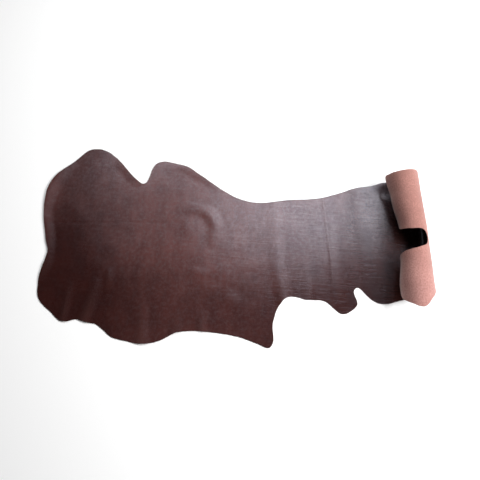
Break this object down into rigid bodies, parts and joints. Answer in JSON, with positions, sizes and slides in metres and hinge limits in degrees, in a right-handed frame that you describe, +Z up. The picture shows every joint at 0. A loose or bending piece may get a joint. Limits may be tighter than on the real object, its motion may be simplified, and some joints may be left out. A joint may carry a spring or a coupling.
{
  "type": "leather side",
  "caption": "Side of dark brown leather lying grain side up, with an uneven cut outline, soft ripples, and one end curled up and back over itself to show the pale suede flesh side.",
  "frame": {"origin": "under the middle of the leather's box, on the surface it lies on", "axes": "+X along the hide to the curled end, +Y across it to the upper long edge of the picture, +Z up"},
  "size_m": [1.9646, 1.1016, 0.1692],
  "materials": {
    "leather": "satin grain side over a napped pink-tan flesh side"
  },
  "bodies": {
    "root": {"leather_side": "leather"}
  },
  "joints": []
}
